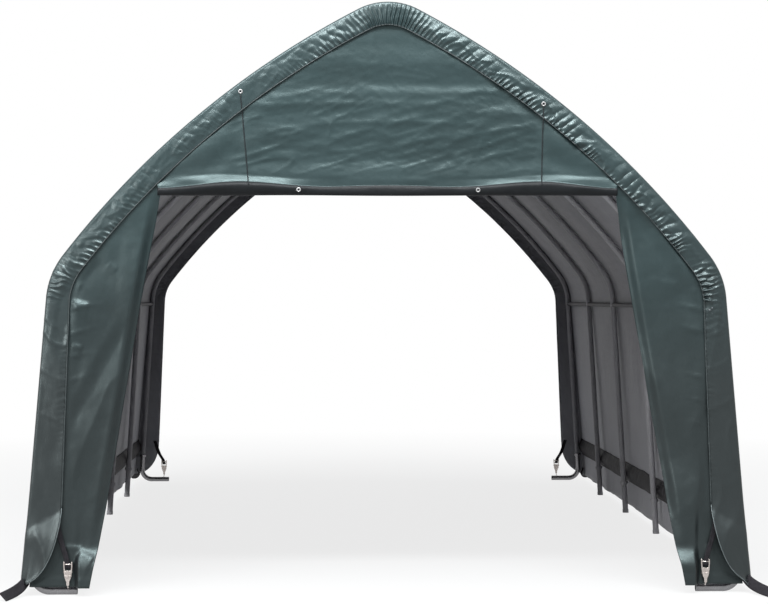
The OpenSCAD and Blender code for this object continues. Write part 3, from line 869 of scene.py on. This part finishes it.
def make_strip(name, side, layer, folds, hollows):
    z = np.linspace(PANEL_FOOT, STRIP_TOP, 190)
    t = np.linspace(0, 1, 64)
    foot = leg_x(PANEL_FOOT) + TUBE_R - STRIP_FOOT_W
    inner = SLEEVE_END + (foot - SLEEVE_END) * np.maximum(HEADER_Z - z, 0) / (HEADER_Z - PANEL_FOOT)
    inner = (inner + 0.004 * noise(z * 3.0, 0 * z + side, layer))[:, None]
    outer = strip_outer(z)[:, None]
    tt, zz = np.meshgrid(t, z)
    x = inner + (outer - inner) * tt
    # broad slanted hollows, hanging folds, and packing creases beside the band
    low = ease(0.0, 0.5, HEADER_Z - zz) * ease(0.0, 0.2, zz - 0.02)
    d = 0.018 * noise(x * 3.4 + zz * 1.7, zz * 2.1 - x * 1.2, layer + 1) * low
    for line in hollows:
        d += hollow(x, zz, **line)
    d += 0.005 * layered(x * 9.0 + zz * 1.5, zz * 2.2, layer + 3, 2) * low
    d += 0.007 * (crease(x * 3.6 + zz * 1.3, zz * 2.6 - x * 1.8, layer + 5, 2.5) - 0.25) * low
    beside = ease(0.35, 0.8, tt)
    d += 0.01 * (crease(x * 2.5, zz * 8.5 + x * 2.0, layer + 9, 7) - 0.2) * beside
    d += 0.0011 * layered(x * 16.0, zz * 14.0, layer + 11, 2)
    # the foot of the strip bellies forward beside the buckle
    clear = 1 - ease(BUCKLE_X - 0.06, BUCKLE_X - 0.028, x)
    d *= 1 - 0.85 * (1 - clear) * (1 - ease(0.3, 0.55, zz))
    belly = 1 - ease(0.125, 0.24, zz + 0.025 * noise(x * 6.0, 0 * x, layer + 7))
    d += belly * (0.004 + 0.05 * clear)
    for line in folds:
        d += fold(x, zz, **line)
    # the lowest part is doubled, and the cloth behind the band lies flat
    d += 0.0022 * (zz < 0.088)
    band_in = np.where(zz > LEG_HEIGHT, BAND_W * 1.2, band_width(zz, FRONT_CUT))
    d *= ease(0.0, 0.06, (outer + 0.02 - band_in) - x)
    # the free edge curls back
    back = (1 - ease(0.0, 0.055, x - inner)) * ease(0.0, 0.25, HEADER_Z - zz) * ease(0.2, 0.5, zz)
    pos = stacked(side * x, 0.045 * back - PANEL_FACE_Y - d, zz)
    sheet = cloth_grid(name, pos, stacked(side * x, zz), [green, lining], outward=side)
    keep(sheet)


# Pocket on the inside of a wall, round its base rail
def make_pocket(name, side):
    y = np.linspace(-COVER_Y + 0.004, COVER_Y - 0.004, 90)[:, None]
    reach = 0.066
    bow = reach * 0.75
    half = RAIL_D / 2 + 0.003
    face = leg_x(RAIL_Z) + (TUBE_R + GAP) / math.cos(LEAN) + 0.0006

    def seam_to_rail(up):
        return [(wall_x(RAIL_Z + up * reach) - 0.0048, up * reach),
                (wall_x(RAIL_Z + up * bow) - 0.008, up * bow),
                (face + 0.004, up * (half + 0.008)), (face + 0.0006, up * half * 0.5)]

    # from the upper seam on the wall, round the rail, to the lower seam
    x, z = np.array(seam_to_rail(1) + [(face, 0.0)] + seam_to_rail(-1)[::-1]).T
    near_rib = np.min(np.abs(y - rib_y), axis=-1)[:, None]
    ripple = 0.004 * noise(y * 6.0, 0 * y, 12) * ease(0.03, 0.2, near_rib)
    off_wall = x < wall_x(RAIL_Z) - COVER_T - 0.01
    pos = stacked(side * (x + np.abs(ripple) * off_wall), y, RAIL_Z + z + ripple * 0.8)
    sheet = cloth_grid(name, pos, stacked(z, y), [pocket_cloth] * 2, thick=0.0012, outward=side)
    keep(sheet)


make_cover()
front_band = make_band("front_band", True, dict(wall=150, shoulder=70, rafter=620, peak=110), 16)
back_band = make_band("back_band", False, dict(wall=90, shoulder=24, rafter=210, peak=44), 14)
make_edging("front_band_edging", front_band, -1, FRONT_CUT)
make_edging("back_band_edging", back_band, 1, BACK_CUT)
gable = make_gable()
make_strip("front_left_strip", -1, 3, LEFT_FOLDS, LEFT_HOLLOWS)
make_strip("front_right_strip", 1, 8, RIGHT_FOLDS, RIGHT_HOLLOWS)
make_pocket("left_pocket", -1)
make_pocket("right_pocket", 1)


# Webbing: edge straps and corner tails
CORNERS = [(f"{tag}_{hand}", end, side) for tag, end in (("front", -1), ("back", 1))
           for hand, side in (("left", -1), ("right", 1))]
# Height over the ground along a tail, and distance from the corner
TAIL_RISE = (0.082, 0.06, 0.045, 0.036, 0.03, 0.026, 0.024, 0.022)
TAIL_REACH = (-0.02, 0.012, 0.05, 0.09, 0.125, 0.16, 0.183, 0.205)
TAIL_TURN = math.radians(24)


def ribbon(name, path, across, width, thick):
    across = np.broadcast_to(np.asarray(across, float), path.shape)
    normal = unit(np.cross(np.gradient(path, axis=0), across))
    k = np.linspace(-0.5, 0.5, 7)
    rows = path[:, None, :] + across[:, None, :] * (k * width)[None, :, None]
    crown = 0.0006 * (1 - (2 * k) ** 4)
    rows += normal[:, None, :] * crown[None, :, None]
    length = lengths(path)
    uv = stacked(length[:, None], (k * width)[None, :])
    sheet = cloth_grid(name, rows, uv, [strap_black] * 2, thick=thick)
    keep(sheet)


def spline(points, count):
    points = np.asarray(points, float)
    at = lengths(points)
    u = np.linspace(0, at[-1], count)
    out = np.stack([np.interp(u, at, points[:, i]) for i in range(3)], -1)
    return smoothed(out, int(count * 0.6))


def make_strap(name, end, side):
    cut = FRONT_CUT if end < 0 else BACK_CUT
    head_x = EDGE_X + 0.012
    foot_z = BUCKLE_Z + BUCKLE_LENGTH * 0.72
    off = 0.011 if end < 0 else 0.002
    path = spline([(side * BUCKLE_X, end * (BUCKLE_Y - 0.002), foot_z),
                   (side * BUCKLE_X, end * (BUCKLE_Y + 0.001), foot_z + 0.03),
                   (side * (BUCKLE_X * 0.5 + head_x * 0.5), end * (STRAP_Y + off), (foot_z + cut) / 2),
                   (side * head_x, end * (STRAP_Y - 0.004), cut + 0.03)], 36)
    ribbon(name, path, (1, 0, 0), STRAP_W, STRAP_T)


def make_tail(name, end, side):
    root = np.array([side * (wall_x(CUT_FOOT) - 0.02), end * (BAND_Y + 0.004), 0])
    way = np.array([side * math.sin(TAIL_TURN), end * math.cos(TAIL_TURN), 0])
    up = np.array([0, 0, 1])
    path = spline([root + way * r + up * h for r, h in zip(TAIL_REACH, TAIL_RISE)], 30)
    # it lies on edge at the corner and leans over towards its end
    flat = side * end * np.array([way[1], -way[0], 0])
    twist = np.radians(np.linspace(66, 42, 30))[:, None]
    across = flat * np.cos(twist) + up * np.sin(twist)
    ribbon(name, path, across, TAIL_W, TAIL_T)


for corner, end, side in CORNERS:
    make_strap(corner + "_strap", end, side)
    make_tail(corner + "_tail", end, side)


# Lever buckles: forked head, pinned body, lever and wire hook
def prism(outline, thick, y0, bevel):
    """Rounded plate from an outline in x and z, thick along y."""
    outline = np.asarray(outline, float)
    d = outline - outline.mean(0)
    d /= np.maximum(np.linalg.norm(d, axis=1, keepdims=True), 1e-6)
    rings = []
    for dy, inset in ((0, bevel), (bevel, 0), (thick - bevel, 0), (thick, bevel)):
        ring = outline - d * inset
        rings.append(stacked(ring[:, 0], y0 + dy, ring[:, 1]))
    return np.concatenate(rings), ring_faces(len(rings), len(outline))


def rounded(points, radius):
    points = np.asarray(points, float)
    out = []
    for i, q in enumerate(points):
        before = points[i - 1] - q
        after = points[(i + 1) % len(points)] - q
        r = min(radius, np.linalg.norm(before) * 0.45, np.linalg.norm(after) * 0.45)
        a = q + before / np.linalg.norm(before) * r
        b = q + after / np.linalg.norm(after) * r
        for t in np.linspace(0, 1, 5):
            out.append((1 - t) ** 2 * a + 2 * t * (1 - t) * q + t * t * b)
    return np.array(out)


# Outlines of a buckle's plates, as shares of its half width and its length
FORK = ((0.5, 0.5), (0.82, 0.5), (1.0, 0.84), (0.96, 1.0), (0.72, 1.0), (0.68, 0.76))
BODY = ((-0.82, 0.4), (0.82, 0.4), (0.86, 0.56), (0.6, 0.66), (-0.6, 0.66), (-0.86, 0.56))
LEVER = ((-0.3, 0.08), (0.3, 0.08), (0.36, 0.24), (0.68, 0.36), (0.66, 0.47), (-0.66, 0.47),
         (-0.68, 0.36), (-0.36, 0.24))


def make_buckle(name, end, side):
    w = BUCKLE_HALF_W
    ln = BUCKLE_LENGTH
    verts = []
    faces = []

    def plate(outline, radius, thick, y0):
        v, f = prism(rounded([(x * w, z * ln) for x, z in outline], radius), thick, y0, 0.0012)
        base = len(verts)
        verts.extend(v.tolist())
        faces.extend([tuple(i + base for i in face) for face in f])

    def crossbar(part, half, z, radius):
        ends = [(-w * half, 0, ln * z), (0, 0, ln * z), (w * half, 0, ln * z)]
        return tube_mesh(name + part, ends, radius, plated, 12)

    for s in (-1, 1):
        plate([(s * x, z) for x, z in FORK][::s], 0.003, 0.009, -0.0045)
    plate(BODY, 0.004, 0.008, -0.004)
    plate(LEVER, 0.004, 0.006, -0.0085)
    body = new_object(name, verts, faces, [plated], smooth=False)
    pin = crossbar("_pin", 1.02, 0.6, 0.004)
    bar = crossbar("_bar", 0.95, 0.9, 0.0032)
    # the wire hook runs down from the lever and back over the corner foot
    reach = BUCKLE_Y - LENGTH / 2
    hook = [(0, -0.003, ln * 0.14), (0, -0.004, ln * 0.05), (0.0, -0.001, -0.004), (0, reach * 0.3, -0.0025),
            (0, reach * 0.7, 0.0), (0, reach, 0.0002)]
    wire = tube_mesh(name + "_hook", spline(hook, 30), 0.0028, plated, 10)
    for o in (body, pin, bar, wire):
        co = np.array([v.co for v in o.data.vertices])
        co[:, 0] = side * (co[:, 0] + BUCKLE_X)
        co[:, 1] = end * (BUCKLE_Y - 0.003 - co[:, 1])
        co[:, 2] += BUCKLE_Z
        o.data.vertices.foreach_set("co", co.astype(np.float32).ravel())
        if side == end:
            o.data.flip_normals()
        o.data.update()
        keep(o)


for corner, end, side in CORNERS:
    make_buckle(corner + "_buckle", end, side)


# Grommets: a rolled metal eyelet round its hole, which is a dark disc of painted shade
GROMMET_STEPS = 28
# Radius and depth, from the hole over the front to the outer edge
GROMMET_SECTION = ((0.0052, 0.0012), (0.0057, -0.0014), (0.0069, -0.0027), (0.009, -0.003),
                   (0.0112, -0.0018), (0.012, 0.0012))
HOLE_R = 0.0055


def front_of(cloth, x, z):
    gap = (cloth[..., 0] - x) ** 2 + (cloth[..., 2] - z) ** 2
    return float(cloth[..., 1].ravel()[np.argmin(gap)])


def make_grommet(name, cloth, x, z):
    y = front_of(cloth, x, z) - 0.0015
    n = len(GROMMET_SECTION)
    turns = np.arange(GROMMET_STEPS) * 2 * math.pi / GROMMET_STEPS
    verts = []
    faces = []
    for k, turn in enumerate(turns):
        m = (k + 1) % GROMMET_STEPS
        for i, (r, d) in enumerate(GROMMET_SECTION):
            j = (i + 1) % n
            verts.append((x + r * math.cos(turn), y + d, z + r * math.sin(turn)))
            faces.append((k * n + i, k * n + j, m * n + j, m * n + i))
    ring = new_object(name, verts, faces, [ring_metal])
    disc = stacked(x + HOLE_R * np.cos(turns), z + HOLE_R * np.sin(turns))
    hole = new_object(name + "_hole", *prism(disc, 0.0014, y - 0.0002, 0.0002), [painted_shade_dark], smooth=False)
    keep(ring)
    keep(hole)


# The band's face on the end, without its turn over the rib
band_face = front_band[7:]


def make_cord(name, head, foot):
    count = 40
    z = np.linspace(head[1] - 0.016, foot[1], count)
    x = head[0] + (foot[0] - head[0]) * np.linspace(0, 1, count)
    y = np.zeros(count)
    for k in range(count):
        y[k] = front_of(gable, x[k], z[k])
        if z[k] > head[1] - 0.1:
            y[k] = min(y[k], front_of(band_face, x[k], z[k]))
    path = stacked(x, smoothed(y, 12) - 0.002, z)
    keep(tube_mesh(name, path, 0.0026, cord_black, 8))


# Upper and lower end of each lift cord, across and up; a grommet is at its upper end
CORDS = (
    dict(hand="left", side=-1, head=(-0.749, 2.548), foot=(-0.708, 2.074)),
    dict(hand="right", side=1, head=(0.79, 2.489), foot=(0.779, 2.074)),
)
for cord in CORDS:
    hand = cord["hand"]
    make_cord(f"{hand}_lift_cord", cord["head"], cord["foot"])
    make_grommet(f"band_{hand}_grommet", band_face, *cord["head"])
    make_grommet(f"hem_{hand}_grommet", gable, cord["side"] * HEM_GROMMET_X, HEADER_Z)

# Finish of the solids that stay in view
finishes = {"corner_feet": tube_bright}
# the purlins take the darker copy of the tube finish: painted shade
for name in ("left_eave_purlins", "right_eave_purlins", "ridge_purlins"):
    finishes[name] = tube_painted_shade
for name, obj in nodes.items():
    if not obj.hide_render:
        obj.data.materials.clear()
        obj.data.materials.append(finishes.get(name, tube_grey))


# Floor, light and camera
def seen_white(tree):
    """1 for rays of the camera, gloss and glass, which see a white studio."""
    path = add(tree, "ShaderNodeLightPath")
    seen = maths("MAXIMUM", path.outputs["Is Camera Ray"], path.outputs["Is Glossy Ray"])
    return maths("MAXIMUM", seen, path.outputs["Is Transmission Ray"])


def mix_shaders(share, lit, white, output):
    tree = share.id_data
    mix = add(tree, "ShaderNodeMixShader")
    for i, socket in enumerate((share, lit.outputs[0], white.outputs[0])):
        link(socket, mix.inputs[i])
    link(mix.outputs[0], tree.nodes[output].inputs["Surface"])


def make_floor():
    m, tree, shader = material("floor_white")
    set_inputs(shader, {"Base Color": (0.42, 0.42, 0.42, 1), "Roughness": 0.9, "Specular IOR Level": 0.1})
    glow = add(tree, "ShaderNodeEmission", Strength=1.0, Color=(1, 1, 1, 1))
    # the floor keeps a part of the object's shadow near it, and is plain white further off
    place = add(tree, "ShaderNodeNewGeometry")
    far = add(tree, "ShaderNodeVectorMath", operation="LENGTH")
    link(place.outputs["Position"], far.inputs[0])
    white = add(tree, "ShaderNodeMapRange")
    set_inputs(white, {"From Min": 3.0, "From Max": 9.0, "To Min": 0.8, "To Max": 1.0})
    link(far.outputs["Value"], white.inputs["Value"])
    share = maths("MULTIPLY", seen_white(tree), white.outputs["Result"])
    mix_shaders(share, shader, glow, "Material Output")
    size = 60
    corners = [(-size, -size, 0), (size, -size, 0), (size, size, 0), (-size, size, 0)]
    new_object("floor", corners, [(0, 1, 2, 3)], [m])


def make_world():
    world = bpy.data.worlds.new("studio")
    bpy.context.scene.world = world
    world.use_nodes = True
    tree = world.node_tree
    lit = tree.nodes["Background"]
    set_inputs(lit, {"Color": (0.93, 0.96, 1.0, 1), "Strength": 0.42})
    white = add(tree, "ShaderNodeBackground", Color=(1, 1, 1, 1), Strength=1.0)
    mix_shaders(seen_white(tree), lit, white, "World Output")


def lamp(name, place, target, size, power, colour=(1, 1, 1)):
    data = bpy.data.lights.new(name, "AREA")
    data.shape = "RECTANGLE"
    data.size, data.size_y = size
    data.energy = power
    data.color = colour
    obj = linked(name, data)
    obj.location = place
    way = Vector(target) - Vector(place)
    obj.rotation_euler = way.to_track_quat("-Z", "Y").to_euler()


make_floor()
make_world()
lamp("sky", (-0.8, -7.5, 12.0), (0, -2.6, 0.6), size=(12, 7), power=2350, colour=(0.95, 0.98, 1.0))
lamp("strip", (0.0, -7.4, 8.2), (0, -3.0, 1.2), size=(9, 1.1), power=1150, colour=(0.95, 0.99, 1.0))
lamp("front", (-7.0, -8.0, 3.2), (1.4, -1.8, 0.8), size=(4, 3), power=440)
lamp("rear", (-3.0, 11.0, 5.0), (0.6, 2, 1.0), size=(8, 5), power=60)

scene = bpy.context.scene
scene.view_settings.view_transform = "Standard"
lens = bpy.data.cameras.new("camera")
lens.sensor_width = 36
lens.lens = 91.1
lens.clip_end = 200
camera = linked("camera", lens)
camera.location = (-0.363, -12.94, 1.50)
camera.rotation_euler = (math.radians(90 - 0.105), 0, math.radians(-1.98))
scene.camera = camera
